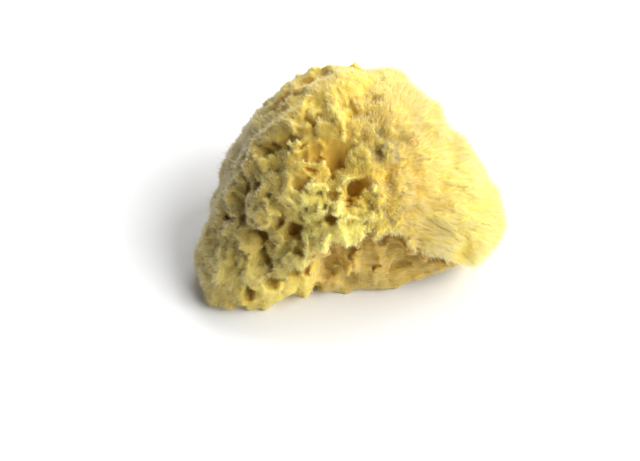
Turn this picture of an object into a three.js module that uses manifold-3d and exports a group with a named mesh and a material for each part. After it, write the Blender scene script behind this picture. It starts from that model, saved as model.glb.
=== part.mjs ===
// A natural bath sponge: one skeleton of horny fibre, cut flat where it was taken off the rock.
// Millimetres, +Z up. The origin is under the middle of the sponge, on the flat cut that it rests on.
// A bearing turns from +X (right) towards +Y (back), so the front of the sponge is at 270 degrees.
// A rise is an angle above the level of the heart, the point inside that every direction starts from.

import * as THREE from 'three';
import { mergeVertices } from 'three/addons/utils/BufferGeometryUtils.js';
import Module from 'manifold-3d';

// ---- Driving dimensions ----

const GIRTH_WIDTH = 122;     // left to right, before the swellings
const GIRTH_DEPTH = 97;      // front to back, before the swellings
const HEIGHT = 88;           // from the cut to the crown, before the swellings
const HEART_HEIGHT = 22;     // of the heart above the cut
const HEART_X = -2;
const HEART_Y = -5;
const PEAKEDNESS = 1.6;      // 2 makes a plain dome, and less makes it more pointed
const LEAN_X = 0.12;         // how far the skin leans to the right, per mm of height
const LEAN_Y = 0.08;         // and to the back
const SKIN_DETAIL = 12;      // subdivisions of the skin's icosahedron
const MOUTH_SIDES = 7;       // flat sides round each pore
const MOUTH_CLEARANCE = 9;   // how far a pore's cutter stands out past the skin
const UNEVENNESS = 1.2;      // height of the skin's gentle lumps
const LUMP_PITCH = 26;       // from one lump to the next
const LUMP_SHIFT = 0.6;      // radians that the lumps are moved along X
const LUMP_STRETCH = 0.8;    // less than 1 makes them taller than they are wide
const LUMP_SKEW = 0.5;       // how far their second row runs aslant
const FINEST = 0.12;         // detail smaller than this is merged away

// A pore's outline from the middle of its floor to its lip: share of its half width, share of its depth.
const pitOutline = [[0, 1], [0.48, 0.93], [0.8, 0.55], [1, 0]];

const heart = new THREE.Vector3(HEART_X, HEART_Y, HEART_HEIGHT);

// Broad swellings (+) and hollows (-) of the skin: where, how wide an angle, and how far in mm.
const swellings = [
  { name: 'crown',             bearing: 105, rise: 58,  spread: 36, reach: 4 },
  { name: 'left foot',         bearing: 216, rise: -16, spread: 21, reach: 18 },
  { name: 'right cheek',       bearing: 340, rise: -6,  spread: 28, reach: 13 },
  { name: 'undercut front',    bearing: 290, rise: -30, spread: 32, reach: -13 },
  { name: 'left side',         bearing: 178, rise: 6,   spread: 24, reach: -4 },
  { name: 'back left',         bearing: 130, rise: 10,  spread: 30, reach: -5 },
  { name: 'back right',        bearing: 40,  rise: 26,  spread: 32, reach: -8 },
];

// The large pores that show: where, how wide and how high the mouth is, how deep it goes, and its
// turn on the skin.
const pores = [
  // Crown and upper slope: small pits, then the first deep ones.
  { bearing: 230, rise: 79,  wide: 4,  high: 8,  deep: 5 },
  { bearing: 256, rise: 77,  wide: 4,  high: 7,  deep: 5 },
  { bearing: 285, rise: 77,  wide: 3,  high: 5,  deep: 6 },
  { bearing: 200, rise: 66,  wide: 3,  high: 8,  deep: 6,  turn: -25 },
  { bearing: 239, rise: 66,  wide: 7,  high: 7,  deep: 8 },
  { bearing: 259, rise: 64,  wide: 4,  high: 4,  deep: 7 },
  { bearing: 268, rise: 63,  wide: 5,  high: 6,  deep: 10 },
  { bearing: 290, rise: 62,  wide: 9,  high: 8,  deep: 5 },
  { bearing: 206, rise: 57,  wide: 8,  high: 9,  deep: 9 },
  { bearing: 233, rise: 57,  wide: 8,  high: 9,  deep: 10 },
  { bearing: 314, rise: 57,  wide: 4,  high: 4,  deep: 5 },
  { bearing: 221, rise: 52,  wide: 5,  high: 6,  deep: 7 },
  { bearing: 296, rise: 52,  wide: 8,  high: 4,  deep: 6 },
  // Middle of the front, the honeycomb.
  { bearing: 198, rise: 48,  wide: 4,  high: 5,  deep: 7 },
  { bearing: 240, rise: 45,  wide: 6,  high: 6,  deep: 9 },
  { bearing: 267, rise: 43,  wide: 6,  high: 6,  deep: 9 },
  { bearing: 214, rise: 42,  wide: 4,  high: 4,  deep: 7 },
  { bearing: 309, rise: 42,  wide: 10, high: 5,  deep: 8,  turn: 20 },
  { bearing: 256, rise: 40,  wide: 6,  high: 5,  deep: 10 },
  { bearing: 243, rise: 37,  wide: 5,  high: 6,  deep: 8 },
  { bearing: 305, rise: 36,  wide: 5,  high: 4,  deep: 8 },
  { bearing: 219, rise: 35,  wide: 5,  high: 7,  deep: 8 },
  { bearing: 235, rise: 33,  wide: 3,  high: 7,  deep: 9 },
  { bearing: 252, rise: 32,  wide: 4,  high: 5,  deep: 8 },
  { bearing: 318, rise: 32,  wide: 4,  high: 4,  deep: 6 },
  { bearing: 337, rise: 32,  wide: 7,  high: 5,  deep: 5 },
  { bearing: 229, rise: 26,  wide: 7,  high: 6,  deep: 9 },
  { bearing: 314, rise: 24,  wide: 4,  high: 5,  deep: 6 },
  { bearing: 247, rise: 22,  wide: 9,  high: 5,  deep: 11 },
  { bearing: 222, rise: 15,  wide: 11, high: 10, deep: 11 },
  { bearing: 211, rise: 14,  wide: 6,  high: 5,  deep: 7 },
  // Recesses under the ragged rim, along the front.
  { bearing: 275, rise: 25,  wide: 7,  high: 8,  deep: 11 },
  { bearing: 265, rise: 21,  wide: 10, high: 4,  deep: 8 },
  { bearing: 290, rise: 19,  wide: 13, high: 9,  deep: 9 },
  { bearing: 301, rise: 20,  wide: 6,  high: 8,  deep: 8 },
  { bearing: 309, rise: 16,  wide: 6,  high: 6,  deep: 8 },
  { bearing: 272, rise: 10,  wide: 8,  high: 11, deep: 9,  turn: 15 },
  { bearing: 285, rise: 6,   wide: 7,  high: 7,  deep: 8 },
  { bearing: 300, rise: 7,   wide: 4,  high: 6,  deep: 7 },
  { bearing: 321, rise: 3,   wide: 18, high: 8,  deep: 8,  turn: 10 },
  { bearing: 309, rise: -4,  wide: 8,  high: 5,  deep: 7 },
  // Foot of the front left, and the two small arches of the base there.
  { bearing: 249, rise: 7,   wide: 10, high: 5,  deep: 8,  turn: -20 },
  { bearing: 260, rise: 1,   wide: 6,  high: 10, deep: 12 },
  { bearing: 237, rise: -1,  wide: 6,  high: 7,  deep: 8 },
  { bearing: 230, rise: -9,  wide: 5,  high: 7,  deep: 8 },
  { bearing: 221, rise: -18, wide: 5,  high: 7,  deep: 8 },
  { bearing: 253, rise: -27, wide: 6,  high: 9,  deep: 9 },
];

// Pores of the back and the two ends follow a spiral, which never sets two of them in line.
const BACK_PORES = 28;
const BACK_FROM = 348;       // bearing of the right-hand end
const BACK_SWEEP = 212;      // from there round the back to the left
const BACK_LOWEST = -8;      // rise of the lowest
const BACK_HIGHEST = 68;     // and of the highest
const GOLDEN_SHARE = 0.618;  // of the sweep, from one pore to the next along the spiral
const BACK_WIDTH = 6;        // of an average mouth
const BACK_VARIATION = 0.35; // share by which a mouth is larger or smaller
const BACK_DEPTH = 1.3;      // how deep a pore is for its width
const BACK_WIDTH_BEAT = 2.4; // radians of the wave that varies the widths, per pore
const BACK_HEIGHT_BEAT = 1.7; // and of the one that varies the heights
const BACK_TURN = 40;        // degrees that each pore is turned past the one before

// Canals that open on the flat cut. None is near the middle, which stays whole.
const canals = [
  { x: 26,  y: 12,  wide: 9, high: 7, deep: 9,  turn: 20 },
  { x: 6,   y: 22,  wide: 7, high: 6, deep: 8,  turn: -30 },
  { x: -20, y: 19,  wide: 8, high: 6, deep: 9,  turn: 50 },
  { x: -32, y: 2,   wide: 6, high: 7, deep: 8,  turn: 0 },
  { x: -24, y: -22, wide: 9, high: 7, deep: 10, turn: 35 },
  { x: 8,   y: -17, wide: 6, high: 5, deep: 7,  turn: 15 },
  { x: 30,  y: -9,  wide: 7, high: 8, deep: 8,  turn: -15 },
];

// ---- Helpers ----

const radians = THREE.MathUtils.degToRad;

function direction(bearing, rise) {
  const level = Math.cos(radians(rise));
  return new THREE.Vector3(
    level * Math.cos(radians(bearing)),
    level * Math.sin(radians(bearing)),
    Math.sin(radians(rise)),
  );
}

// Distance from the heart to the skin of the plain egg shape, before any swelling.
function eggRadius(d) {
  const level = Math.hypot(d.x / (GIRTH_WIDTH / 2), d.y / (GIRTH_DEPTH / 2));
  const up = Math.abs(d.z) / (HEIGHT - HEART_HEIGHT);
  return (level ** PEAKEDNESS + up ** PEAKEDNESS) ** (-1 / PEAKEDNESS);
}

// Gentle lumps, as waves that run through space and cross each other.
function lumps(p) {
  const k = (2 * Math.PI) / LUMP_PITCH;
  const upright = Math.sin(k * p.x + LUMP_SHIFT) * Math.cos(k * LUMP_STRETCH * p.z);
  const aslant = Math.sin(k * (p.y - LUMP_SKEW * p.x));
  return UNEVENNESS * (upright + aslant);
}

// The point on the skin in one direction from the heart.
function skinPoint(d) {
  let radius = eggRadius(d);
  for (const s of swellings) {
    const away = direction(s.bearing, s.rise).angleTo(d) / radians(s.spread);
    radius += s.reach * Math.exp(-away * away);
  }
  radius += lumps(heart.clone().addScaledVector(d, radius));
  const p = heart.clone().addScaledVector(d, radius);
  p.x += LEAN_X * (p.z - HEART_HEIGHT);
  p.y += LEAN_Y * (p.z - HEART_HEIGHT);
  return p;
}

const wasm = await Module();
wasm.setup();

function solidFrom(geometry) {
  const plain = geometry.clone();
  plain.deleteAttribute('normal');
  plain.deleteAttribute('uv');
  const merged = mergeVertices(plain, 1e-3);
  return new wasm.Manifold(new wasm.Mesh({
    numProp: 3,
    vertProperties: merged.attributes.position.array,
    triVerts: new Uint32Array(merged.index.array),
  }));
}

function geometryFrom(solid) {
  const mesh = solid.getMesh();
  return new THREE.BufferGeometry()
    .setAttribute('position', new THREE.BufferAttribute(mesh.vertProperties, 3))
    .setIndex(new THREE.BufferAttribute(mesh.triVerts, 1));
}

// ---- The skin, closed all round ----

function skin() {
  const geometry = new THREE.IcosahedronGeometry(1, SKIN_DETAIL);
  const position = geometry.attributes.position;
  const d = new THREE.Vector3();
  for (let i = 0; i < position.count; i += 1) {
    d.fromBufferAttribute(position, i).normalize();
    const p = skinPoint(d);
    position.setXYZ(i, p.x, p.y, p.z);
  }
  return solidFrom(geometry);
}

// What lies under the flat cut.
function belowTheCut() {
  const box = new THREE.BoxGeometry(2 * GIRTH_WIDTH, 2 * GIRTH_DEPTH, HEIGHT);
  return solidFrom(box.translate(0, 0, -HEIGHT / 2));
}

// ---- Pores ----

// A rounded pit that narrows inwards, lying along Z with its lip at Z = 0.
function pit({ wide, high, deep, turn = 0 }) {
  const outline = pitOutline.map(([across, down]) => new THREE.Vector2(across, -down * deep));
  outline.push(new THREE.Vector2(1, MOUTH_CLEARANCE), new THREE.Vector2(0, MOUTH_CLEARANCE));
  const geometry = new THREE.LatheGeometry(outline, MOUTH_SIDES);
  geometry.rotateX(Math.PI / 2);
  geometry.scale(wide / 2, high / 2, 1);
  return geometry.rotateZ(radians(turn));
}

// A pore looks straight out from the heart.
function poreCutter(pore) {
  const out = direction(pore.bearing, pore.rise);
  const facing = new THREE.Matrix4().lookAt(out, new THREE.Vector3(), new THREE.Vector3(0, 0, 1));
  const lip = skinPoint(out);
  return solidFrom(pit(pore).applyMatrix4(facing).translate(lip.x, lip.y, lip.z));
}

// A canal looks straight down through the flat cut.
function canalCutter(canal) {
  return solidFrom(pit(canal).rotateX(Math.PI).translate(canal.x, canal.y, 0));
}

function backPores() {
  const lowest = Math.sin(radians(BACK_LOWEST));
  const highest = Math.sin(radians(BACK_HIGHEST));
  return Array.from({ length: BACK_PORES }, (_, i) => {
    const up = lowest + (highest - lowest) * (i + 0.5) / BACK_PORES;
    const wide = BACK_WIDTH * (1 + BACK_VARIATION * Math.sin(BACK_WIDTH_BEAT * i));
    return {
      bearing: BACK_FROM + BACK_SWEEP * ((GOLDEN_SHARE * i) % 1),
      rise: THREE.MathUtils.radToDeg(Math.asin(up)),
      wide,
      high: BACK_WIDTH * (1 + BACK_VARIATION * Math.cos(BACK_HEIGHT_BEAT * i)),
      deep: wide * BACK_DEPTH,
      turn: BACK_TURN * i,
    };
  });
}

// ---- The sponge ----

function sponge() {
  let solid = skin();
  for (const pore of [...pores, ...backPores()]) solid = solid.subtract(poreCutter(pore));
  solid = solid.subtract(belowTheCut());
  for (const canal of canals) solid = solid.subtract(canalCutter(canal));
  const geometry = geometryFrom(solid.simplify(FINEST));
  geometry.computeBoundingBox();
  const middle = geometry.boundingBox.getCenter(new THREE.Vector3());
  geometry.translate(-middle.x, -middle.y, 0);
  const material = new THREE.MeshStandardMaterial({ color: 0xe2cd72, roughness: 0.95, metalness: 0 });
  const mesh = new THREE.Mesh(geometry, material);
  mesh.name = 'sponge';
  return mesh;
}

const part = new THREE.Group();
part.add(sponge());

export default part;
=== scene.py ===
# %% [markdown]
# # A natural sea sponge
#
# A bath sponge is the dried skeleton of a sea animal: one springy network of horny fibre, full of pores.
# Its front left is a honeycomb of ragged pores, its right cheek is as soft as a brush, and the low front
# wall under the overhang is smooth. It was cut flat where it grew on the rock, and it rests on that cut.
#
# The measured solid of the sponge comes in first. It has the outline and the largest pores. All that follows
# grows on it: horn that keeps close to its skin, and fibre that stands out by a few millimetres.

import math

import bmesh
import bpy
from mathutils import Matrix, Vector


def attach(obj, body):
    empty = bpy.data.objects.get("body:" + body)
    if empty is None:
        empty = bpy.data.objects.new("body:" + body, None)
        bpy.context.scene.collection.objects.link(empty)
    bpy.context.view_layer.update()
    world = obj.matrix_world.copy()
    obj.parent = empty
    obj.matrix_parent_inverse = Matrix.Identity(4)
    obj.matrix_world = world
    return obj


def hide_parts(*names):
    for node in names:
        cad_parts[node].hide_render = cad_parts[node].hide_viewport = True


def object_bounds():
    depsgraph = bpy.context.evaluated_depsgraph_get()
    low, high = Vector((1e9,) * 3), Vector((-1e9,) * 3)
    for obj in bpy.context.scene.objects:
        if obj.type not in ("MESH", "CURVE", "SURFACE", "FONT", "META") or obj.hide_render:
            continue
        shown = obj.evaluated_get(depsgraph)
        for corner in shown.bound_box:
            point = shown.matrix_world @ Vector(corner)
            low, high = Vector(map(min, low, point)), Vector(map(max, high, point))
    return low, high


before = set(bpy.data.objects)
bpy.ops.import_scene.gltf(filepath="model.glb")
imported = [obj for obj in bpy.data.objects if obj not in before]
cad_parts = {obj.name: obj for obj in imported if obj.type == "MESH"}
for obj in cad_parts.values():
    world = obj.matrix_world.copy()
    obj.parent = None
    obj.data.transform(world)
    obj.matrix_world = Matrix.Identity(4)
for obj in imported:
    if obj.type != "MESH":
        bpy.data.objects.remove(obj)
cad_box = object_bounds()
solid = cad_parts["sponge"]
scene = bpy.context.scene
low, high = [Vector(corner) for corner in cad_box]
print("solid, in mm:", [round(1000 * side, 1) for side in high - low])

# %% [markdown]
# ## Camera
#
# The sponge is seen from the front and from 45 degrees above, with a long lens, so that its sides stay
# nearly parallel. The lens is shifted a little instead of turning the camera, which keeps the view level.

# %% Camera
LENS = 0.085                       # focal length, in metres as everything here
SENSOR = 0.036
CAMERA_RISE = math.radians(45)
CAMERA_AWAY = 0.670
LOOK_AT = Vector((-0.0013, 0.005, 0.026))
SHIFT_RIGHT = -0.0438              # in parts of the picture's width
SHIFT_UP = -0.0695

lens = bpy.data.cameras.new("camera")
lens.lens = 1000 * LENS
lens.sensor_width = 1000 * SENSOR
lens.shift_x = SHIFT_RIGHT
lens.shift_y = SHIFT_UP
camera = bpy.data.objects.new("camera", lens)
towards_camera = Vector((0, -math.cos(CAMERA_RISE), math.sin(CAMERA_RISE)))
camera.location = LOOK_AT + CAMERA_AWAY * towards_camera
camera.rotation_euler = (math.pi / 2 - CAMERA_RISE, 0, 0)
scene.collection.objects.link(camera)
scene.camera = camera
print("camera height, in mm:", round(1000 * camera.location.z))

# %% [markdown]
# ## A short way to wire nodes
#
# Geometry Nodes and materials are both graphs of nodes. Built by hand, every node takes several lines, so
# this helper adds a node, fills its sockets and returns the socket that the next node needs.

# %% The wiring helper
class Board:
    """A node tree with short ways to add nodes to it and to join them."""

    def __init__(self, tree):
        self.tree = tree

    def feed(self, socket, value):
        if isinstance(value, bpy.types.NodeSocket):
            self.tree.links.new(value, socket)
        else:
            socket.default_value = value

    def add(self, kind, inputs=None, **settings):
        node = self.tree.nodes.new(kind)
        for name, value in settings.items():
            setattr(node, name, value)
        for name, value in (inputs or {}).items():
            self.feed(node.inputs[name], value)
        return node

    def maths(self, operation, *values, clamp=False):
        node = self.add("ShaderNodeMath", operation=operation, use_clamp=clamp)
        for socket, value in zip(node.inputs, values):
            self.feed(socket, value)
        return node.outputs[0]

    def total(self, first, *others):
        for other in others:
            first = self.maths("ADD", first, other)
        return first

    def product(self, first, *others):
        for other in others:
            first = self.maths("MULTIPLY", first, other)
        return first

    def rest(self, share):
        """What a share leaves of the whole."""
        return self.maths("SUBTRACT", 1.0, share)

    def smooth(self, value, start, end, low=0.0, high=1.0):
        """From low to high while value goes from start to end, with soft ends."""
        inputs = {"Value": value, "From Min": start, "From Max": end, "To Min": low, "To Max": high}
        return self.add("ShaderNodeMapRange", inputs, interpolation_type="SMOOTHSTEP").outputs["Result"]

    def lerp(self, share, a, b):
        """a where share is 0, b where it is 1."""
        difference = self.maths("SUBTRACT", b, a)
        return self.maths("MULTIPLY_ADD", difference, share, a)

    def vector(self, operation, *values):
        node = self.add("ShaderNodeVectorMath", operation=operation)
        sockets = (node.inputs[0], node.inputs["Scale"]) if operation == "SCALE" else node.inputs
        for socket, value in zip(sockets, values):
            self.feed(socket, value)
        gives_number = operation in ("LENGTH", "DOT_PRODUCT")
        return node.outputs["Value" if gives_number else "Vector"]

    def parts(self, vector):
        """The x, y and z of a vector."""
        return self.add("ShaderNodeSeparateXYZ", {0: vector}).outputs

    def noise_node(self, position, pitch, detail):
        return self.add("ShaderNodeTexNoise", {"Vector": position, "Scale": 1 / pitch, "Detail": detail})

    def noise(self, position, pitch, detail=2.0):
        """Smooth noise in space, from 0 to 1, with lumps about one pitch apart."""
        return self.noise_node(position, pitch, detail).outputs[0]

    def ripple(self, position, pitch, detail=2.0):
        """The same noise, from -0.5 to 0.5."""
        return self.maths("SUBTRACT", self.noise(position, pitch, detail), 0.5)

    def stray(self, position, pitch, detail=2.0):
        """An arrow that changes smoothly in space, with each of its parts from -0.5 to 0.5."""
        three = self.noise_node(position, pitch, detail).outputs[1]
        return self.vector("SUBTRACT", three, (0.5, 0.5, 0.5))

print("wiring helper ready")

# %% [markdown]
# ## The sponge's body
#
# On the real sponge every wall between two pores is a sheet of fine fibre, and the pores run inwards from
# the outside, each as deep as it likes. A sculpted or displaced surface can't make such deep holes without
# stretching. So the body is a rule in space instead: a Geometry Nodes tree fills a block of small cubes
# with one number, how deep that place is in horn rather than in air, and then wraps a mesh round the horn.
# Depth comes from the measured solid, and the pores are cells of a Voronoi pattern that is laid on a
# sphere round the heart of the sponge, so each one is a shaft that points at the heart.

# %% Sizes of the body, in metres
HEART = Vector((-0.0033, 0.0, 0.022))  # the point inside that the pores look at
SPHERE = 0.052                         # radius of the sphere that the pore patterns lie on
BLOCK_MARGIN = 0.007                   # air left round the sponge in the block of cubes
CUBE = 0.0008                          # edge of one small cube
DEPTH_CUBE = 0.001                     # the same for the two fields of depth
CLOSING = 0.007                        # pores narrower than twice this are bridged by the envelope
BAND = 0.018                           # how far from the skin the depth is known
print("cubes along the longest side:", round((high.x - low.x + 2 * BLOCK_MARGIN) / CUBE))

# %% [markdown]
# ## Where the sponge changes its character
#
# One animal, but five kinds of surface. A round patch that faces up and to the front left is honeycomb, and
# so is the back. The cheek on the right is a brush of long fibre. Under an overhanging rim the front wall is
# smooth and ribbed, and the left foot under it bulges out, smooth as well. All the rest is fine fuzz. Each
# region is a share from 0 to 1 that fades softly into its neighbours, worked out from the place alone, so
# the same rules serve the shape, the fibres and the colour.

# %% Borders of the regions, in metres: where each begins to show, and where it is whole
COMB_FACES = Vector((-0.40, -0.66, 0.62)).normalized()       # the middle of the front honeycomb
BACK_COMB_FACES = Vector((-0.22, 0.88, 0.42)).normalized()   # and of the one at the back
COMB_EDGE, BACK_COMB_EDGE = (0.64, 0.84), (0.52, 0.78)       # cosines of the angle from that middle
RIM_TOP, RIM_MIDDLE, RIM_FALL = 0.043, 0.004, 14.0           # height, place and fall of the rim's arch
RIM_LOWER_EDGE, RIM_UPPER_EDGE = (-0.002, 0.001), (0.008, 0.003)  # heights over that arch
WALL_TOP_EDGE = (0.001, -0.003)                              # likewise
WALL_LEFT_EDGE, WALL_RIGHT_EDGE = (-0.020, -0.012), (0.053, 0.043)
FRONT_EDGE = (-0.008, -0.020)
FOOT_LEFT_EDGE, FOOT_RIGHT_EDGE, FOOT_TOP_EDGE = (-0.051, -0.043), (-0.012, -0.020), (0.026, 0.020)
CHEEK_LEAN = 0.25                                            # the cheek's border goes left as it rises
CHEEK_EDGE = (0.026, 0.052)
TUFTS_LEFT_EDGE, TUFTS_RIGHT_EDGE, TUFTS_BACK_EDGE = (0.014, 0.032), (0.060, 0.040), (0.012, -0.008)
DRIFT_PITCH, DRIFT = 0.014, 0.016                            # borders wander by half of DRIFT each way
DRIFT_TURN = 9.0                                             # cosine that a metre of drift is worth
print("borders: comb, cheek, wall, foot, rim and tufts")

# %% The regions
def regions(board, position):
    """Shares of comb, cheek, wall, rim, both smooth parts, tufts by the cheek, and all bare of fuzz."""
    x, y, z = board.parts(position)
    drift = board.maths("MULTIPLY_ADD", board.noise(position, DRIFT_PITCH), DRIFT, -DRIFT / 2)
    away = board.vector("NORMALIZE", board.vector("SUBTRACT", position, tuple(HEART)))
    turn = board.product(drift, DRIFT_TURN)

    def patch(faces, edge):
        facing = board.total(board.vector("DOT_PRODUCT", away, tuple(faces)), turn)
        return board.smooth(facing, *edge)

    both_combs = board.maths("MAXIMUM", patch(COMB_FACES, COMB_EDGE), patch(BACK_COMB_FACES, BACK_COMB_EDGE))

    aside = board.maths("SUBTRACT", x, RIM_MIDDLE)
    fall = board.product(aside, aside, RIM_FALL)
    over_rim = board.total(board.maths("SUBTRACT", z, RIM_TOP), fall, drift)
    front = board.smooth(y, *FRONT_EDGE)
    ends = board.product(board.smooth(x, *WALL_LEFT_EDGE), board.smooth(x, *WALL_RIGHT_EDGE), front)
    wall = board.product(ends, board.smooth(over_rim, *WALL_TOP_EDGE))
    band = board.product(board.smooth(over_rim, *RIM_LOWER_EDGE), board.smooth(over_rim, *RIM_UPPER_EDGE))
    rim = board.product(ends, band)

    foot = board.product(board.smooth(x, *FOOT_LEFT_EDGE), board.smooth(x, *FOOT_RIGHT_EDGE), front,
                         board.smooth(board.total(z, drift), *FOOT_TOP_EDGE))
    smooth_part = board.maths("MAXIMUM", wall, foot)

    across = board.maths("MULTIPLY_ADD", z, CHEEK_LEAN, board.total(x, drift))
    cheek = board.product(board.smooth(across, *CHEEK_EDGE), board.rest(wall))
    tufted = board.product(board.smooth(across, *TUFTS_LEFT_EDGE), board.smooth(across, *TUFTS_RIGHT_EDGE),
                           board.smooth(y, *TUFTS_BACK_EDGE), board.rest(smooth_part))
    comb = board.product(both_combs, board.rest(board.maths("MAXIMUM", smooth_part, cheek)))
    bare = board.maths("MAXIMUM", comb, smooth_part)
    return {"comb": comb, "cheek": cheek, "wall": wall, "rim": rim, "smooth": smooth_part,
            "tufted": tufted, "bare": bare}

print("regions ready")

# %% One family of pores
IRREGULAR = 0.85                       # 0 sets the pores in rows, 1 is the most disorder
MOUTH_LEAST, MOUTH_RANGE = 0.48, 0.28  # half width of a mouth, in parts of the pitch
REACH_LEAST, REACH_RANGE = 0.5, 1.0    # depth of a pore, in parts of the family's depth
SOFT_SIDE, SOFT_END = 0.15, 0.25       # rounding of its side and its end, in parts of the pitch
SHUT_EDGE = (-0.02, 0.05)              # how sharply the shut pores differ from the open ones

def pores(board, on_sphere, depth, pitch, deepest, thinnest, shut, shift):
    """Room inside the pores of one size: above 0 in air. The share that stays shut is picked by cell."""
    scaled = board.vector("SCALE", on_sphere, board.maths("DIVIDE", 1.0, pitch))
    pattern = {"Vector": board.vector("ADD", scaled, shift), "Scale": 1.0, "Randomness": IRREGULAR}
    cell = board.add("ShaderNodeTexVoronoi", pattern, feature="F1")
    edge = board.add("ShaderNodeTexVoronoi", pattern, feature="DISTANCE_TO_EDGE")
    open_lot, mouth_lot, reach_lot = board.parts(cell.outputs["Color"])
    opening = board.smooth(board.maths("SUBTRACT", open_lot, shut), *SHUT_EDGE, -1.0, 0.0)
    side = board.maths("SUBTRACT", board.product(edge.outputs["Distance"], pitch), thinnest)
    mouth = board.maths("MULTIPLY_ADD", mouth_lot, MOUTH_RANGE, MOUTH_LEAST)
    bore = board.product(board.maths("SUBTRACT", mouth, cell.outputs["Distance"]), pitch)
    bore = board.maths("SMOOTH_MIN", bore, side, board.product(pitch, SOFT_SIDE))
    reach = board.product(board.maths("MULTIPLY_ADD", reach_lot, REACH_RANGE, REACH_LEAST), deepest)
    end = board.maths("SUBTRACT", reach, depth)
    room = board.maths("SMOOTH_MIN", bore, end, board.product(pitch, SOFT_END))
    return board.total(room, board.product(opening, pitch))

print("one family of pores ready")

# %% [markdown]
# ## Hollows with a place of their own
#
# Most pores follow a rule, but a few catch the eye where they are: two pits in the foot, the arch where the
# foot meets the wall, a nick in the foot's edge, and the shadowed pockets under the rim. Each is an
# egg-shaped room at a stated place.

# %% Named hollows: centre and half sizes, in millimetres
MILLIMETRE = 0.001
HOLLOWS = {
    "foot pit": ((-43.0, -46.0, 13.5), (2.3, 6.0, 4.4)),
    "foot pocket": ((-33.5, -46.0, 19.5), (3.2, 5.5, 2.7)),
    "foot slit": ((-24.5, -47.0, 24.5), (3.0, 5.5, 2.2)),
    "arch": ((-14.5, -48.0, 4.0), (3.6, 12.0, 12.5)),
    "foot arch": ((-25.0, -50.0, 0.0), (11.0, 13.0, 10.5)),
    "base corner": ((25.0, -36.0, 0.0), (5.5, 7.0, 4.5)),
    "crown cleft": ((-5.5, 0.0, 86.5), (1.8, 11.0, 3.4)),
    "nick": ((-47.0, -46.0, 0.0), (2.6, 7.0, 4.0)),
    "rim pocket left": ((-1.5, -43.0, 32.0), (3.6, 7.0, 5.0)),
    "rim pocket middle": ((12.0, -41.0, 32.0), (4.4, 6.0, 3.0)),
    "rim pocket right": ((29.0, -39.0, 25.0), (3.4, 5.5, 2.4)),
    "under the rim, left": ((4.0, -42.0, 38.0), (3.6, 7.5, 3.6)),
    "under the rim, right": ((23.0, -38.0, 34.0), (3.4, 7.0, 3.0)),
    "wall dimple": ((30.0, -38.0, 16.0), (3.0, 4.5, 2.0)),
    "wall slot": ((1.0, -43.0, 15.0), (2.2, 5.0, 7.0)),
    "wall fold": ((17.0, -41.0, 15.0), (4.0, 4.5, 2.6)),
}

def named_room(board, position):
    """Room inside the nearest of the named hollows: above 0 in air."""
    rooms = []
    for centre, half in HOLLOWS.values():
        offset = board.vector("SUBTRACT", position, tuple(MILLIMETRE * c for c in centre))
        unit = board.vector("DIVIDE", offset, tuple(MILLIMETRE * h for h in half))
        short = MILLIMETRE * min(half)
        rooms.append(board.maths("MULTIPLY_ADD", board.vector("LENGTH", unit), -short, short))
    best = rooms[0]
    for room in rooms[1:]:
        best = board.maths("MAXIMUM", best, room)
    return best

print(len(HOLLOWS), "named hollows")

# %% [markdown]
# ## Relief of the skin
#
# Between its pores the skin isn't level. It gathers in clumps, thin ruffles cross the honeycomb, and ribs
# run up the wall and the foot. The wall is set back under the rim, and tucked in at its lower right, so that
# the cheek overhangs the floor there. A sculptor would push each of these by hand. Here each is a height in
# metres, worked out from the place alone, so they can be added up, and any of them can be changed alone.

# %% Sizes of the relief, in metres
CLUMP_PITCH, CLUMP_BLUR, CLUMP_LEVEL = 0.0070, 0.7, 0.45     # the level is the distance that lifts nothing
FUZZ_CLUMP, COMB_CLUMP = 0.0016, 0.0042
CHEEK_CLUMP_MORE, TUFT_CLUMP_MORE = 0.0014, 0.0036
RUFFLE_PITCH, RUFFLE_EDGE = 0.0110, (0.080, 0.0)             # the edge is in parts of the noise
FUZZ_RUFFLE, COMB_RUFFLE = 0.0003, 0.0022
FINE_PITCH, ROUGH_FINE, SMOOTH_FINE = 0.0020, 0.0030, 0.0018
SWELL_PITCH, SWELL = 0.014, 0.0060
RIB_PITCH, RIB_STRETCH = 0.0062, (1.0, 1.0, 0.45)
RIB_RISE, RIB_HEIGHTS = (0.002, 0.012), (0.0020, 0.0090)     # low ribs at the floor, high ones above
SET_BACK_RISE, SET_BACKS = (0.003, 0.014), (0.0004, 0.0044)
TUCK_FALL, TUCKS = (0.018, 0.0), (0.0, 0.0060)
TUCK_RIGHT_EDGE, TUCK_FRONT_EDGE = (0.012, 0.042), (-0.004, -0.020)
UNDER_FUZZ, UNDER_CHEEK = 0.0010, 0.0019                     # room left for the fibre that stands on it
RIM_LIFT = 0.0020
CROWN_EDGE, CROWN_ACROSS, CROWN_DROPS = (0.050, 0.080), (0.022, -0.002), (-0.0012, 0.0024)
TOE_MIDDLE, TOE_ACROSS = 0.004, (0.017, 0.004)
TOE_FALL, TOES = (0.008, 0.001), (0.0, 0.0024)
print("ribs go in and out by up to", round(1000 * RIB_HEIGHTS[1] / 2, 1), "mm")

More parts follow.
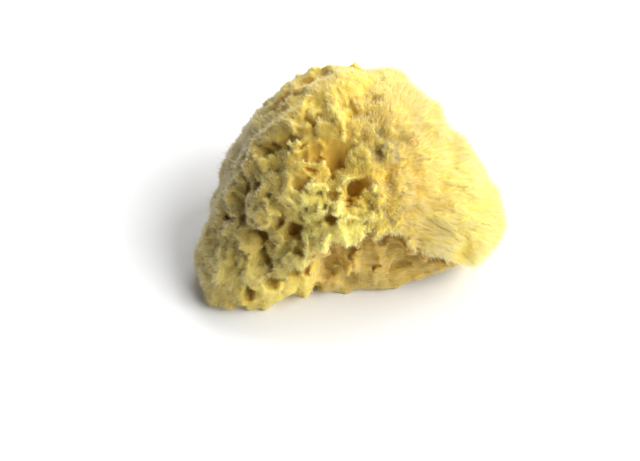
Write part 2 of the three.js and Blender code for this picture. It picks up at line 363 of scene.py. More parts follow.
# %% Relief
def relief(board, position, strayed, on_sphere, part):
    """How far the skin is lifted outwards at a position, in metres."""
    x, y, z = board.parts(position)
    cells = board.add("ShaderNodeTexVoronoi", {
        "Vector": board.vector("SCALE", strayed, 1 / CLUMP_PITCH), "Scale": 1.0,
        "Smoothness": CLUMP_BLUR}, feature="SMOOTH_F1").outputs["Distance"]
    clump_height = board.total(board.lerp(part["comb"], FUZZ_CLUMP, COMB_CLUMP),
                               board.product(part["cheek"], CHEEK_CLUMP_MORE))
    clump_height = board.maths("MULTIPLY_ADD", part["tufted"], TUFT_CLUMP_MORE, clump_height)
    clumps = board.product(board.maths("SUBTRACT", CLUMP_LEVEL, cells), clump_height)

    # Ruffles: thin ridges where a slow noise on the sphere passes its middle value.
    off_middle = board.maths("ABSOLUTE", board.ripple(on_sphere, RUFFLE_PITCH, detail=1.0))
    ruffle = board.product(board.smooth(off_middle, *RUFFLE_EDGE),
                           board.lerp(part["comb"], FUZZ_RUFFLE, COMB_RUFFLE))
    fine = board.product(board.ripple(on_sphere, FINE_PITCH),
                         board.lerp(part["smooth"], ROUGH_FINE, SMOOTH_FINE))
    swell = board.product(board.ripple(position, SWELL_PITCH), SWELL)

    # Ribs: a noise that is stretched upwards.
    upright = board.vector("MULTIPLY", position, RIB_STRETCH)
    rib_height = board.product(part["smooth"], board.smooth(z, *RIB_RISE, *RIB_HEIGHTS))
    ribs = board.product(board.ripple(upright, RIB_PITCH, detail=1.0), rib_height)

    lift = board.total(board.total(clumps, ruffle), board.total(fine, swell), ribs)
    lift = board.maths("MULTIPLY_ADD", part["rim"], RIM_LIFT, lift)
    off_toe = board.maths("ABSOLUTE", board.maths("SUBTRACT", x, TOE_MIDDLE))
    toe = board.product(board.smooth(z, *TOE_FALL, *TOES), board.smooth(off_toe, *TOE_ACROSS))
    lift = board.maths("MULTIPLY_ADD", toe, part["wall"], lift)

    set_back = board.product(part["wall"], board.smooth(z, *SET_BACK_RISE, *SET_BACKS))
    tuck = board.product(board.smooth(z, *TUCK_FALL, *TUCKS), board.smooth(x, *TUCK_RIGHT_EDGE),
                         board.smooth(y, *TUCK_FRONT_EDGE))
    under_fibre = board.lerp(part["cheek"], board.lerp(part["bare"], UNDER_FUZZ, 0.0), UNDER_CHEEK)
    low_crown = board.product(board.smooth(z, *CROWN_EDGE), board.smooth(x, *CROWN_ACROSS, *CROWN_DROPS))
    for drop in (set_back, tuck, under_fibre, low_crown):
        lift = board.maths("SUBTRACT", lift, drop)
    return lift

print("relief ready")

# %% [markdown]
# ## Two depths
#
# The solid already has its largest pores, so depth under its skin is small in their walls. Depth under an
# envelope that bridges them says how far in a place is from the outside, and the finer pores need that one.
# Both are signed distance fields, which Blender makes from a closed mesh. The envelope is the old trick of
# closing a shape: grow it until its gaps meet, then shrink it back. The places are read a little astray, so
# that no pore is round and no edge is straight.

# %% Sizes of the straying, in metres
COARSE_STRAY_PITCH, COARSE_STRAY = 0.007, 0.0034
FINE_STRAY_PITCH, FUZZ_STRAY, BARE_STRAY = 0.0022, 0.0018, 0.0010
RAGGED_PITCH, RAGGED = 0.0040, 0.0040
ENVELOPE_MORE = 8                      # cubes of band that the grown shape needs beyond the skin's

# %% Read both depths
def two_depths(board, given, position, part):
    """Depth under the skin and under the envelope, the strayed place, and its place on the sphere."""
    band = int(BAND / DEPTH_CUBE)
    skin = board.add("GeometryNodeMeshToSDFGrid", {
        "Mesh": given["Solid"], "Voxel Size": DEPTH_CUBE, "Band Width": band}).outputs[0]
    grown = board.add("GeometryNodeGridToMesh", {0: skin, "Threshold": given["Closing"]}).outputs[0]
    envelope = board.add("GeometryNodeMeshToSDFGrid", {
        "Mesh": grown, "Voxel Size": DEPTH_CUBE, "Band Width": band + ENVELOPE_MORE}).outputs[0]

    fine_stray = board.lerp(part["bare"], FUZZ_STRAY, BARE_STRAY)
    coarse = board.vector("SCALE", board.stray(position, COARSE_STRAY_PITCH), COARSE_STRAY)
    fine = board.vector("SCALE", board.stray(position, FINE_STRAY_PITCH), fine_stray)
    strayed = board.vector("ADD", position, board.vector("ADD", coarse, fine))
    outside_skin = board.add("GeometryNodeSampleGrid", {0: skin, "Position": strayed}).outputs[0]
    outside_grown = board.add("GeometryNodeSampleGrid", {0: envelope, "Position": position}).outputs[0]
    under_skin = board.product(outside_skin, -1.0)
    depth = board.product(board.total(outside_grown, given["Closing"]), -1.0)

    ragged = board.vector("SCALE", board.stray(position, RAGGED_PITCH, detail=1.0), RAGGED)
    from_heart = board.vector("SUBTRACT", board.vector("ADD", strayed, ragged), tuple(HEART))
    on_sphere = board.vector("SCALE", board.vector("NORMALIZE", from_heart), SPHERE)
    return under_skin, depth, strayed, on_sphere

print("two depths ready")

# %% [markdown]
# ## How open each region is
#
# The real pores come in three sizes, and each region has its own mix. The honeycomb has large and middle
# ones, the wall a few, the tufts some middle ones, and the fuzz is pricked all over with small ones. So
# each family of pores gets a share of its cells that are open, by region. Outside the honeycomb, fuzz also
# fills most of the solid's own large pores, and a grit roughens the walls of the others.

# %% Shares by region
FILL_FUZZ, FILL_BARE, FILL_TUFTS = 0.65, 0.16, 0.60          # how much of a large pore the fuzz fills
FILL_CROWN_EDGE, FILL_CROWN = (0.060, 0.078), 0.65
GRIT_PITCH, GRIT, GRIT_EDGE = 0.0024, 0.0026, (0.0010, 0.0040)
OPEN_LARGE = {"front comb": 0.20, "back comb": 0.40, "more on wall": 0.25}
OPEN_MIDDLE = {"front comb": 0.16, "left and back comb": 0.42, "everywhere": 0.05,
               "more on wall": 0.20, "more in tufts": 0.13}
OPEN_SMALL = {"comb": 0.07, "fuzz": 0.30, "cheek": 0.25, "more on smooth": -0.25, "more in tufts": 0.06}
BEHIND_EDGE, LEFT_EDGE = (-0.005, 0.020), (0.004, -0.018)
WHOLE_FOOT_EDGE = (0.004, 0.011)       # no pores in the lowest edge of the wall
print("open middle pores in the left and back comb:", OPEN_MIDDLE["left and back comb"])

# %% Fill and open
def filled_skin(board, position, part, under_skin, depth):
    """Depth under a skin whose large pores are partly filled with fuzz, and rough inside."""
    z = board.parts(position)[2]
    fill = board.maths("MAXIMUM", board.lerp(part["bare"], FILL_FUZZ, FILL_BARE),
                       board.product(part["tufted"], FILL_TUFTS))
    fill = board.maths("MAXIMUM", fill, board.smooth(z, *FILL_CROWN_EDGE, 0.0, FILL_CROWN))
    grit = board.product(board.ripple(position, GRIT_PITCH), board.smooth(depth, *GRIT_EDGE, 0.0, GRIT))
    return board.total(board.lerp(fill, under_skin, depth), grit)

def open_shares(board, position, part):
    """The share of each family's cells that is open at a position."""
    x, y, z = board.parts(position)
    behind = board.smooth(y, *BEHIND_EDGE)
    left_or_back = board.maths("MAXIMUM", behind, board.smooth(x, *LEFT_EDGE))
    in_comb = board.lerp(behind, OPEN_LARGE["front comb"], OPEN_LARGE["back comb"])
    large = board.product(part["comb"], in_comb)
    large = board.maths("MULTIPLY_ADD", part["wall"], OPEN_LARGE["more on wall"], large)
    in_comb = board.lerp(left_or_back, OPEN_MIDDLE["front comb"], OPEN_MIDDLE["left and back comb"])
    middle = board.total(board.product(part["comb"], in_comb), OPEN_MIDDLE["everywhere"])
    middle = board.maths("MULTIPLY_ADD", part["wall"], OPEN_MIDDLE["more on wall"], middle)
    middle = board.maths("MULTIPLY_ADD", part["tufted"], OPEN_MIDDLE["more in tufts"], middle)
    small = board.lerp(part["comb"], board.lerp(part["cheek"], OPEN_SMALL["fuzz"], OPEN_SMALL["cheek"]),
                       OPEN_SMALL["comb"])
    small = board.maths("MULTIPLY_ADD", part["smooth"], OPEN_SMALL["more on smooth"], small)
    small = board.maths("MULTIPLY_ADD", part["tufted"], OPEN_SMALL["more in tufts"], small)
    whole_foot = board.lerp(part["wall"], 1.0, board.smooth(z, *WHOLE_FOOT_EDGE))
    return [board.product(share, whole_foot) for share in (large, middle, small)]

print("fill and open ready")

# %% Wrap a mesh round the horn
SKIN_LEVEL = 1.0                       # density at the skin; round the block it is 0, which is air
DENSITY_RISE = 100.0                   # density that one metre of depth adds
CRUMB = 20000.0                        # a loose piece with fewer corners than this is a crumb

def wrap(board, horn):
    """The mesh round all places where horn is above 0, without its crumbs."""
    density = board.maths("MULTIPLY_ADD", horn, DENSITY_RISE, SKIN_LEVEL)
    block_low = low - Vector((BLOCK_MARGIN,) * 3)
    block_high = high + Vector((BLOCK_MARGIN,) * 3)
    inputs = {"Density": density, "Min": tuple(block_low), "Max": tuple(block_high)}
    for axis, start, end in zip("XYZ", block_low, block_high):
        inputs["Resolution " + axis] = int((end - start) / CUBE)
    block = board.add("GeometryNodeVolumeCube", inputs).outputs[0]
    wrapped = board.add("GeometryNodeVolumeToMesh", {"Volume": block, "Threshold": SKIN_LEVEL}).outputs[0]
    island = board.add("GeometryNodeInputMeshIsland").outputs["Island Index"]
    size = board.add("GeometryNodeAccumulateField", {"Value": 1.0, "Group Index": island}, domain="POINT")
    crumb = board.add("FunctionNodeCompare", {0: size.outputs["Total"], 1: CRUMB}, operation="LESS_THAN")
    return board.add("GeometryNodeDeleteGeometry", {"Geometry": wrapped, "Selection": crumb.outputs[0]},
                     domain="POINT").outputs[0]

print("wrap ready")

# %% The tree that grows the body
BODY_SIZES = {"Closing": CLOSING, "Large pitch": 0.0105, "Middle pitch": 0.0070, "Small pitch": 0.0027,
              "Large depth": 0.0070, "Middle depth": 0.0042, "Small depth": 0.0024}
FAMILIES = {"Large": (0.0009, (3.1, 0.4, 7.7)), "Middle": (0.0007, (1.3, 5.2, 0.9)),
            "Small": (0.0004, (8.8, 2.1, 4.6))}   # thinnest wall, and a shift that sets the patterns apart
PORE_LIP, HOLLOW_LIP, CUT_LIP = 0.0006, 0.0012, 0.0016       # roundness of the edges where they meet
STORED = ("cheek", "comb", "smooth", "wall", "tufted")

def new_tree(name, geometry_in, geometry_out, settings):
    """A Geometry Nodes tree with named inputs, each with its kind and value, and its board."""
    tree = bpy.data.node_groups.new(name, "GeometryNodeTree")
    face = tree.interface
    face.new_socket(geometry_in, in_out="INPUT", socket_type="NodeSocketGeometry")
    inputs = {}
    for title, (kind, value) in settings.items():
        inputs[title] = face.new_socket(title, in_out="INPUT", socket_type="NodeSocket" + kind)
        if value is not None:
            inputs[title].default_value = value
    inputs["Material"] = face.new_socket("Material", in_out="INPUT", socket_type="NodeSocketMaterial")
    face.new_socket(geometry_out, in_out="OUTPUT", socket_type="NodeSocketGeometry")
    return tree, inputs, Board(tree)

def end_tree(board, given, geometry):
    """Ends a tree: copies made real, and the material set."""
    real = board.add("GeometryNodeRealizeInstances", {0: geometry}).outputs[0]
    done = board.add("GeometryNodeSetMaterial", {"Geometry": real, "Material": given["Material"]}).outputs[0]
    board.tree.links.new(done, board.add("NodeGroupOutput").inputs[0])

def grow_body():
    settings = {title: ("Float", value) for title, value in BODY_SIZES.items()}
    tree, inputs, board = new_tree("grow sponge body", "Solid", "Body", settings)
    given = board.add("NodeGroupInput").outputs
    position = board.add("GeometryNodeInputPosition").outputs[0]
    part = regions(board, position)
    under_skin, depth, strayed, on_sphere = two_depths(board, given, position, part)
    horn = board.total(filled_skin(board, position, part, under_skin, depth),
                       relief(board, position, strayed, on_sphere, part))
    shares = open_shares(board, position, part)
    for (size, (thinnest, shift)), share in zip(FAMILIES.items(), shares):
        room = pores(board, on_sphere, depth, given[size + " pitch"], given[size + " depth"], thinnest,
                     board.rest(share), shift)
        horn = board.maths("SMOOTH_MIN", horn, board.product(room, -1.0), PORE_LIP)
    placed = board.product(named_room(board, strayed), -1.0)
    horn = board.maths("SMOOTH_MIN", horn, placed, HOLLOW_LIP)
    flat_cut = board.parts(position)[2]
    horn = board.maths("SMOOTH_MIN", horn, flat_cut, CUT_LIP)
    whole = wrap(board, horn)

    # What the fibres and the finish need to know about each place.
    for name, value in [("depth", depth)] + [(name, part[name]) for name in STORED]:
        whole = board.add("GeometryNodeStoreNamedAttribute", {
            "Geometry": whole, "Name": name, "Value": value}, data_type="FLOAT", domain="POINT").outputs[0]
    shaded = board.add("GeometryNodeSetShadeSmooth", {"Geometry": whole, "Shade Smooth": True}).outputs[0]
    end_tree(board, given, shaded)
    return tree, inputs

body_tree, body_inputs = grow_body()
fibre_material = bpy.data.materials.new("sponge fibre")
print("body tree:", len(body_tree.nodes), "nodes")

# %% [markdown]
# ## Growing the body
#
# A tree runs as a modifier. Its inputs are set before it is first evaluated, and the evaluated result is
# copied to a plain mesh, which exports and bakes like any other. The measured solid comes as loose
# triangles, and a field of depth needs a closed skin, so a merged copy of it goes in.

# %% Run a tree and keep its mesh
MERGE_WITHIN = 1e-6

def apply_tree(source, tree, inputs, values, name):
    """Runs a tree on a mesh, and returns the plain mesh object that comes out."""
    start = bpy.data.objects.new(name + " start", source)
    scene.collection.objects.link(start)
    modifier = start.modifiers.new("grow", "NODES")
    modifier.node_group = tree
    for key, value in values.items():
        modifier[inputs[key].identifier] = value
    bpy.context.view_layer.update()
    grown = start.evaluated_get(bpy.context.evaluated_depsgraph_get())
    mesh = bpy.data.meshes.new_from_object(grown)
    start.modifiers.remove(modifier)
    bpy.data.objects.remove(start)
    piece = bpy.data.objects.new(name, mesh)
    scene.collection.objects.link(piece)
    return piece

merged = solid.data.copy()
shape = bmesh.new()
shape.from_mesh(merged)
bmesh.ops.remove_doubles(shape, verts=shape.verts, dist=MERGE_WITHIN)
shape.to_mesh(merged)
shape.free()
body = apply_tree(merged, body_tree, body_inputs, {"Material": fibre_material}, "sponge.body")
print("body faces:", len(body.data.polygons))

# %% Thin the mesh
BODY_TRIANGLES = 195000

def triangles(piece):
    piece.data.calc_loop_triangles()
    return len(piece.data.loop_triangles)

def thin(piece, most):
    """Merges the flattest triangles until no more than most are left."""
    modifier = piece.modifiers.new("thin", "DECIMATE")
    modifier.ratio = min(1.0, most / triangles(piece))
    grown = piece.evaluated_get(bpy.context.evaluated_depsgraph_get())
    mesh = bpy.data.meshes.new_from_object(grown)
    piece.modifiers.remove(modifier)
    piece.data = mesh

thin(body, BODY_TRIANGLES)
print("body triangles:", triangles(body))

# %% [markdown]
# ## Fibre ends
#
# The horn ends in thousands of fine fibres: short and stiff on the crests of the honeycomb, a dense nap on
# the fuzz, and long, soft and swept back on the cheek, where they lean together in tufts. Hair curves would
# be quick, but they don't survive as a mesh. So one needle of four triangles is made once, and a tree sets
# copies of it on the body, leans each towards the middle of its tuft, and turns them into one plain mesh for
# each side of the sponge.

# %% One fibre, to be scaled: one metre long, with its corners one metre from its middle
def one_fibre():
    turns = [corner * 2 * math.pi / 3 for corner in range(3)]
    corners = [(math.cos(turn), math.sin(turn), 0.0) for turn in turns]
    mesh = bpy.data.meshes.new("fibre")
    mesh.from_pydata(corners + [(0.0, 0.0, 1.0)], [], [(2, 1, 0), (0, 1, 3), (1, 2, 3), (2, 0, 3)])
    along = mesh.attributes.new("along", "FLOAT", "POINT")
    along.data.foreach_set("value", [0.0, 0.0, 0.0, 1.0])
    return bpy.data.objects.new("fibre", mesh)

fibre = one_fibre()
print("one fibre has", triangles(fibre), "triangles")

# %% Sizes of the fibres, in metres where nothing else is said
FIBRE_INPUTS = {
    "Fibre": ("Object", None), "From bearing": ("Float", 0.0), "Sector": ("Float", 90.0),
    "Density": ("Float", 5e6), "Crest length": ("Float", 0.0012), "Fuzz length": ("Float", 0.0019),
    "Cheek length": ("Float", 0.0040), "Thickness": ("Float", 0.00009),
    "Crest tuft": ("Float", 0.0016), "Cheek tuft": ("Float", 0.0026), "Seed": ("Int", 1)}
CREST_EDGE, IN_PORE = (0.0048, 0.0008), 0.03                 # few fibres stand deep in a pore
FOOTING_EDGE = (0.0010, 0.0035)                              # and none at the floor
SMOOTH_DENSITY, SMOOTH_LENGTH = 0.16, 0.6                    # parts of what the rest has
SKIN_PULL, LEAN_PITCH, LEAN, SWEEP = 0.8, 0.010, 1.7, 0.55   # pulls on a fibre's direction
SWEPT_FROM = Vector((-0.020, -0.030, 0.055))                 # the cheek's fibre lies away from here
TUFTED_MORE = 0.0010
LENGTHS = (0.55, 1.25)                                       # least and most, in parts of the length
WHISKER_EDGE, WHISKER_MORE = (0.965, 1.0), 1.6               # a few fibres stand far out
BENDS = (0.3, 0.9)                                           # how far tips go to the tuft's middle
OFF_FLOOR = 0.0004                                           # no tip goes lower than this
LENGTH_LOT, BEND_LOT, WHISKER_LOT = 4, 7, 12                 # seeds
print("a fibre's root fits a circle of", round(2000 * FIBRE_INPUTS["Thickness"][1], 2), "mm")

# %% The tree that sets the fibres
def direction(board, position, skin_normal, cheek):
    """Which way a fibre points: out of the skin and away from the heart, and swept back on the cheek."""
    from_heart = board.vector("NORMALIZE", board.vector("SUBTRACT", position, tuple(HEART)))
    out = board.vector("ADD", board.vector("SCALE", skin_normal, SKIN_PULL), from_heart)
    out = board.vector("ADD", out, board.vector("SCALE", board.stray(position, LEAN_PITCH), LEAN))
    swept = board.vector("NORMALIZE", board.vector("SUBTRACT", position, tuple(SWEPT_FROM)))
    out = board.vector("ADD", out, board.vector("SCALE", swept, board.product(cheek, SWEEP)))
    return board.vector("NORMALIZE", out)

def grow_fibres():
    tree, inputs, board = new_tree("set fibre ends", "Body", "Fibres", FIBRE_INPUTS)
    given = board.add("NodeGroupInput").outputs

    def named(name):
        return board.add("GeometryNodeInputNamedAttribute", {"Name": name}, data_type="FLOAT").outputs[0]

    def random(lowest, highest, seed):
        node = board.add("FunctionNodeRandomValue", {"Min": lowest, "Max": highest, "Seed": seed},
                         data_type="FLOAT")
        return [socket for socket in node.outputs if socket.type == "VALUE"][0]

    # How many fibres stand on each face of this side: most on the crests, few on the smooth parts.
    position = board.add("GeometryNodeInputPosition").outputs[0]
    x, y, z = board.parts(position)
    bearing = board.maths("DEGREES", board.maths("ARCTAN2", y, x))
    turned = board.maths("FLOORED_MODULO", board.maths("SUBTRACT", bearing, given["From bearing"]), 360.0)
    here = board.maths("LESS_THAN", turned, given["Sector"])
    cheek, comb, smooth = named("cheek"), named("comb"), named("smooth")
    share = board.product(board.smooth(named("depth"), *CREST_EDGE, IN_PORE, 1.0), here,
                          board.smooth(z, *FOOTING_EDGE), board.lerp(smooth, 1.0, SMOOTH_DENSITY))
    scatter = board.add("GeometryNodeDistributePointsOnFaces", {
        "Mesh": given["Body"], "Density": board.product(share, given["Density"]),
        "Seed": given["Seed"]}, distribute_method="RANDOM")
    kept = board.add("GeometryNodeCaptureAttribute")
    kept.capture_items.new("VECTOR", "normal")
    tree.links.new(scatter.outputs["Points"], kept.inputs[0])
    tree.links.new(scatter.outputs["Normal"], kept.inputs[1])
    points, skin_normal = kept.outputs[0], kept.outputs[1]

    # How long each one is.
    length = board.lerp(cheek, board.lerp(comb, given["Fuzz length"], given["Crest length"]),
                        given["Cheek length"])
    length = board.product(length, board.lerp(smooth, 1.0, SMOOTH_LENGTH))
    length = board.maths("MULTIPLY_ADD", named("tufted"), TUFTED_MORE, length)
    whisker = board.smooth(random(0.0, 1.0, WHISKER_LOT), *WHISKER_EDGE, 0.0, WHISKER_MORE)
    length = board.product(length, board.total(random(*LENGTHS, LENGTH_LOT), whisker))

    # Fibres lean together: each bends its tip towards the middle of the cell of space that it stands in.
    out = direction(board, position, skin_normal, cheek)
    tuft = board.lerp(cheek, given["Crest tuft"], given["Cheek tuft"])
    cell = board.add("ShaderNodeTexVoronoi", {
        "Vector": board.vector("SCALE", position, board.maths("DIVIDE", 1.0, tuft)),
        "Scale": 1.0}, feature="F1")
    aside = board.vector("SUBTRACT", board.vector("SCALE", cell.outputs["Position"], tuft), position)
    along_out = board.vector("SCALE", out, board.vector("DOT_PRODUCT", aside, out))
    aside = board.vector("SUBTRACT", aside, along_out)
    bend = board.vector("SCALE", aside, random(*BENDS, BEND_LOT))
    tip_x, tip_y, tip_z = board.parts(board.vector("ADD", board.vector("SCALE", out, length), bend))
    tip_z = board.maths("MAXIMUM", tip_z, board.maths("SUBTRACT", OFF_FLOOR, z))
    reach = board.add("ShaderNodeCombineXYZ", {0: tip_x, 1: tip_y, 2: tip_z}).outputs[0]

    aim = board.add("FunctionNodeAlignRotationToVector", {"Vector": reach}, axis="Z").outputs[0]
    size = board.add("ShaderNodeCombineXYZ", {0: given["Thickness"], 1: given["Thickness"],
                                              2: board.vector("LENGTH", reach)}).outputs[0]
    shape = board.add("GeometryNodeObjectInfo", {"Object": given["Fibre"]}).outputs["Geometry"]
    copies = board.add("GeometryNodeInstanceOnPoints", {
        "Points": points, "Instance": shape, "Rotation": aim, "Scale": size}).outputs[0]
    end_tree(board, given, copies)
    return tree, inputs

fibre_tree, fibre_inputs = grow_fibres()
print("fibre tree:", len(fibre_tree.nodes), "nodes")

# %% Set them, one side at a time: first bearing, width in degrees, fibres on a square metre
SIDES = {"front": (-130.0, 85.0, 7.0e6), "cheek": (-45.0, 90.0, 5.4e6), "back": (45.0, 90.0, 5.0e6),
         "left": (135.0, 95.0, 4.6e6)}
pieces = [body]
for side, (bearing, width, density) in SIDES.items():
    values = {"Fibre": fibre, "From bearing": bearing, "Sector": width, "Density": density,
              "Seed": len(pieces), "Material": fibre_material}
    pieces.append(apply_tree(body.data, fibre_tree, fibre_inputs, values, "sponge.fibres_" + side))
    print(pieces[-1].name, triangles(pieces[-1]), "triangles")
bpy.data.objects.remove(fibre)
print("in all:", sum(triangles(piece) for piece in pieces), "triangles")

# %% [markdown]
# ## The finish of the horn
#
# Sponge fibre is a dull, honey-coloured horn that lets light in a little way, which is why pores glow amber
# instead of going black. Light passes through a few millimetres of it, red furthest. The tips, bleached, are
# lemon on the cheek and cream on the crests. The horn deepens to amber and brown in the pores, partly its
# own less bleached colour and partly painted shade; the saffron and straw at the roots of the tufts are
# partly painted shade between the tufts, the umber on the wall under the rim is painted shade, and the upper
# left side is painted darker as shade. The colour follows the depth that the tree stored on the mesh, with a
# slow drift in space, and a fine grain makes the bump.

# %% Colours
LEMON, CREAM = (0.96, 0.91, 0.30, 1), (0.91, 0.81, 0.235, 1)
HONEY, AMBER, BROWN = (0.84, 0.67, 0.115, 1), (0.74, 0.49, 0.075, 1), (0.52, 0.27, 0.035, 1)
STRAW, OCHRE = (0.95, 0.82, 0.18, 1), (0.42, 0.30, 0.058, 1)
SHADE_UMBER, PALE = (0.42, 0.285, 0.075, 1), (0.94, 0.86, 0.28, 1)
SAFFRON = (0.94, 0.70, 0.10, 1)
# The ramp darkens with depth: partly the horn's own less bleached colour, partly painted shade in the pores.
DEPTH_STOPS = ((0.24, HONEY), (0.55, AMBER))                 # between cream and brown
FIRST_STOP = 0.08
RAMP_DEPTH, RAMP_START = 0.015, 0.2                          # metres the ramp spans; its place at depth 0
# Root tints by region: the umber on the wall is painted shade under the rim; the straw and saffron are
# partly the roots' own colour and partly painted shade between the tufts.
ROOT_TINTS_AND_SHADE = (("smooth", 0.3, HONEY), ("wall", 0.85, SHADE_UMBER), ("fuzz", 0.35, STRAW),
              ("cheek", 0.85, STRAW), ("tufted", 0.6, SAFFRON))
# Tips are bleached. The bleach fades towards the roots and in pores deeper than a millimetre, which is
# partly the fibre's own colour and partly painted shade between the tufts and in the pores.
BLEACH_AND_SHADE_POWER, BLEACH_AND_SHADE_EDGE, BLEACH_AND_SHADE_SHARES = 1.3, (0.0045, 0.0010), (0.25, 0.92)
DRIFT_COLOUR_PITCH, DRIFT_COLOUR_EDGE, DRIFT_COLOUR = 0.022, (0.45, 0.75), 0.30
# Painted shade: ochre darkens the upper left side, where the light falls weakest.
PAINTED_SHADE_LEFT_EDGE, PAINTED_SHADE_RISE, PAINTED_SHADE_SHARES = (-0.008, -0.045), (0.018, 0.040), (0.60, 0.84)
STRAND_PITCH, STRAND_STRETCH = 0.0017, (0.22, 0.8, 1.3)
GROOVE_EDGE, GROOVE = (0.55, 0.30), 0.45
GRAIN_PITCH, GRAIN_EDGE, ROUGHNESSES = 0.0006, (0.3, 0.7), (0.70, 0.95)
BUMP, GRAIN_BUMP, STRAND_BUMP = 0.8, 0.0005, 0.0016          # strength, and heights in metres
SHADER_SETTINGS = {"Specular IOR Level": 0.25, "Subsurface Weight": 0.6, "Subsurface Scale": 0.0055,
                   "Subsurface Radius": (1.0, 0.60, 0.20), "Sheen Weight": 0.15, "Sheen Roughness": 0.5}
print("full brown at a depth of", round(1000 * RAMP_DEPTH * (1 - RAMP_START), 1), "mm")

# %% Finish
def finish_fibre(material):
    material.use_nodes = True
    tree = material.node_tree
    board = Board(tree)
    shader = tree.nodes["Principled BSDF"]

    def named(name):
        return board.add("ShaderNodeAttribute", attribute_name=name).outputs["Fac"]

    def blend(share, one, other):
        return board.add("ShaderNodeMix", {0: share, 6: one, 7: other}, data_type="RGBA").outputs[2]

    part = {name: named(name) for name in STORED}
    part["fuzz"] = board.rest(board.maths("MAXIMUM", part["comb"], part["smooth"]))
    depth = named("depth")
    place = board.add("ShaderNodeTexCoord").outputs["Object"]

    # The root's colour by depth and region, partly painted shade in the pores, between the tufts and on the
    # wall, and the tip's.
    deep = board.maths("MULTIPLY_ADD", depth, 1 / RAMP_DEPTH, RAMP_START, clamp=True)
    ramp = board.add("ShaderNodeValToRGB", {0: deep})
    stops = ramp.color_ramp.elements
    stops[0].position, stops[0].color = FIRST_STOP, CREAM
    stops[1].position, stops[1].color = 1.0, BROWN
    for position, colour in DEPTH_STOPS:
        stops.new(position).color = colour
    root = ramp.outputs[0]
    for region, strength, tint in ROOT_TINTS_AND_SHADE:
        root = blend(board.product(part[region], strength), root, tint)
    tip = blend(part["cheek"], blend(part["fuzz"], CREAM, PALE), LEMON)
    # Bleach of the tips, held back at the roots and in the pores: partly painted shade.
    bleach_and_shade = board.product(board.maths("POWER", named("along"), BLEACH_AND_SHADE_POWER),
                             board.smooth(depth, *BLEACH_AND_SHADE_EDGE, *BLEACH_AND_SHADE_SHARES))
    colour = blend(bleach_and_shade, root, tip)

    # Drift, painted shade on the upper left side, and dark grooves between the strands of the smooth parts.
    drift = board.noise(place, DRIFT_COLOUR_PITCH, detail=3.0)
    colour = blend(board.smooth(drift, *DRIFT_COLOUR_EDGE, 0.0, DRIFT_COLOUR), colour, OCHRE)
    x, y, z = board.parts(place)
    # Painted shade: the upper left side turns ochre, as if in shadow.
    painted_shade_left = board.product(board.smooth(x, *PAINTED_SHADE_LEFT_EDGE),
                                board.smooth(z, *PAINTED_SHADE_RISE, *PAINTED_SHADE_SHARES))
    colour = blend(painted_shade_left, colour, OCHRE)
    strands = board.noise(board.vector("MULTIPLY", place, STRAND_STRETCH), STRAND_PITCH, detail=3.0)
    grooves = board.product(board.smooth(strands, *GROOVE_EDGE, 0.0, GROOVE), part["smooth"])
    board.feed(shader.inputs["Base Color"], blend(grooves, colour, AMBER))

    grain = board.noise(place, GRAIN_PITCH)
    board.feed(shader.inputs["Roughness"], board.smooth(grain, *GRAIN_EDGE, *ROUGHNESSES))
    height = board.lerp(part["smooth"], grain, strands)
    reach = board.lerp(part["smooth"], GRAIN_BUMP, STRAND_BUMP)
    bump = board.add("ShaderNodeBump", {"Height": height, "Strength": BUMP, "Distance": reach})
    board.feed(shader.inputs["Normal"], bump.outputs[0])
    for name, value in SHADER_SETTINGS.items():
        shader.inputs[name].default_value = value

finish_fibre(fibre_material)
print("finish nodes:", len(fibre_material.node_tree.nodes))

# %% [markdown]
# ## Floor and light
#
# The sponge stands on white paper in a bright room. Its light comes from the right, soft, partly from the
# front and partly from behind, so the shadow hugs the left side and fades evenly. Three broad suns do that:
# a sun lights the whole floor alike, where a lamp nearby would leave the far floor grey. The sky is dim
# above, to keep the shadow, and bright along the horizon, where it hardly lights the sponge.

# %% Floor
PAPER, PAPER_ROUGHNESS = (0.75, 0.75, 0.75, 1), 0.9
FLOOR_HALF = 8

def paper():
    material = bpy.data.materials.new("paper")
    material.use_nodes = True
    shader = material.node_tree.nodes["Principled BSDF"]
    shader.inputs["Base Color"].default_value = PAPER
    shader.inputs["Roughness"].default_value = PAPER_ROUGHNESS
    return material

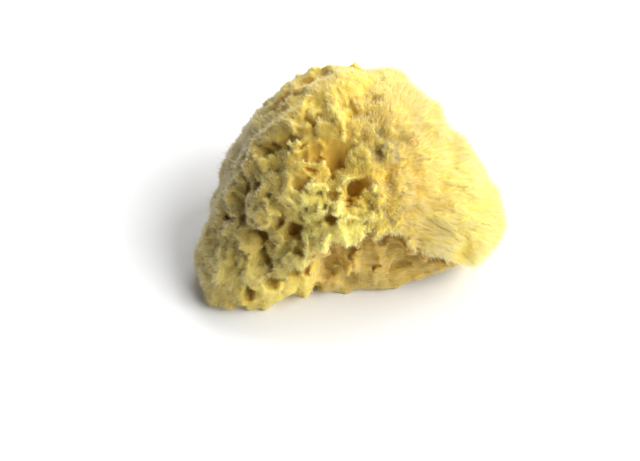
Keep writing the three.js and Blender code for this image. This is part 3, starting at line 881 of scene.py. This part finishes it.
floor_mesh = bpy.data.meshes.new("floor")
floor_corners = [(FLOOR_HALF * x, FLOOR_HALF * y, 0) for x, y in ((-1, -1), (1, -1), (1, 1), (-1, 1))]
floor_mesh.from_pydata(floor_corners, [], [(0, 1, 2, 3)])
floor = bpy.data.objects.new("floor", floor_mesh)
scene.collection.objects.link(floor)
floor.data.materials.append(paper())
print("floor laid")

# %% Sky and suns
SKY_DIM, SKY_BRIGHT, SKY_TINT = 0.12, 1.08, (0.96, 0.98, 1, 1)
HORIZON_EDGE = (0.22, 0.34)            # how far up the bright band reaches, as the sine of the angle
SUN_SPREAD = 40                        # degrees of sky that a sun fills
# Each sun's bearing, counted from the right towards the back, its rise, and its power.
SUNS = {"front right": (-28, 37, 3.1), "right": (10, 41, 2.5), "behind": (75, 50, 1.9)}

def light_sky():
    world = bpy.data.worlds.new("room")
    world.use_nodes = True
    board = Board(world.node_tree)
    up = board.parts(board.add("ShaderNodeTexCoord").outputs["Generated"])[2]
    background = world.node_tree.nodes["Background"]
    background.inputs["Color"].default_value = SKY_TINT
    board.feed(background.inputs["Strength"], board.smooth(up, *HORIZON_EDGE, SKY_BRIGHT, SKY_DIM))
    scene.world = world

def sun(name, bearing, rise, power):
    light = bpy.data.lights.new(name, "SUN")
    light.angle = math.radians(SUN_SPREAD)
    light.energy = power
    rig = bpy.data.objects.new(name, light)
    turn, lift = math.radians(bearing), math.radians(rise)
    towards = Vector((math.cos(lift) * math.cos(turn), math.cos(lift) * math.sin(turn), math.sin(lift)))
    rig.rotation_euler = towards.to_track_quat("Z", "Y").to_euler()
    scene.collection.objects.link(rig)

light_sky()
for name, (bearing, rise, power) in SUNS.items():
    sun(name, bearing, rise, power)
scene.view_settings.view_transform = "Standard"
print(len(SUNS), "suns and a sky")

# %% [markdown]
# ## Hand over
#
# All pieces belong to the one body, stand in for the measured solid, and take its fibre finish.

# %% Hand over
for piece in pieces:
    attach(piece, "root")
    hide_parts("sponge")
bpy.context.view_layer.update()
